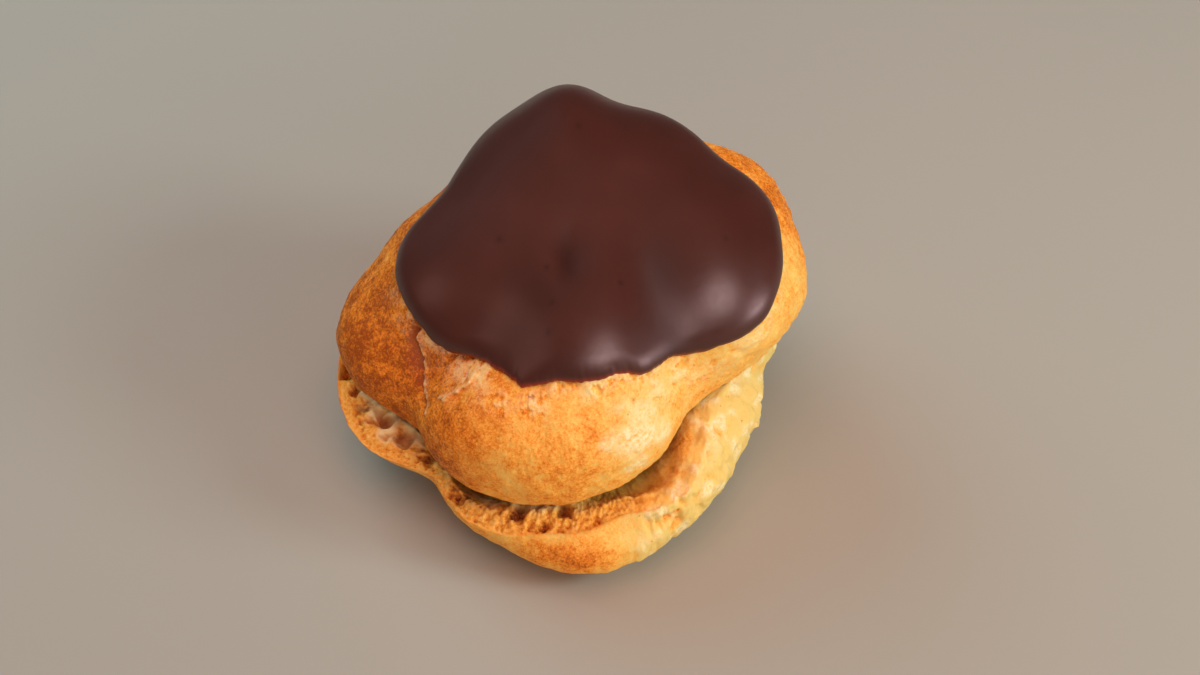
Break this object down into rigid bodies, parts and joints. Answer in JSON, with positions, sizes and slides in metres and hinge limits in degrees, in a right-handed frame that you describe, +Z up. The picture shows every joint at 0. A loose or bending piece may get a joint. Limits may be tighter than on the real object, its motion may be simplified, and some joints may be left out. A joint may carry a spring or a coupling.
{
  "type": "eclair",
  "caption": "Round hollow choux bun cut in two, with its lobed lid laid back slightly ajar on a shallow base and coated in smooth dark icing.",
  "frame": {"origin": "on the floor, at the middle of the object seen from above", "axes": "+Z up, -Y towards the front, where the lid gapes open over the base"},
  "size_m": [0.0808, 0.073, 0.0545],
  "materials": {
    "base_crust": "baked choux crust, matt, yellow gold",
    "lid_crust": "baked choux crust, matt, golden brown",
    "dark_icing": "set chocolate icing, half gloss"
  },
  "bodies": {
    "root": {"base": "base_crust", "lid": "lid_crust", "icing": "dark_icing"}
  },
  "joints": []
}
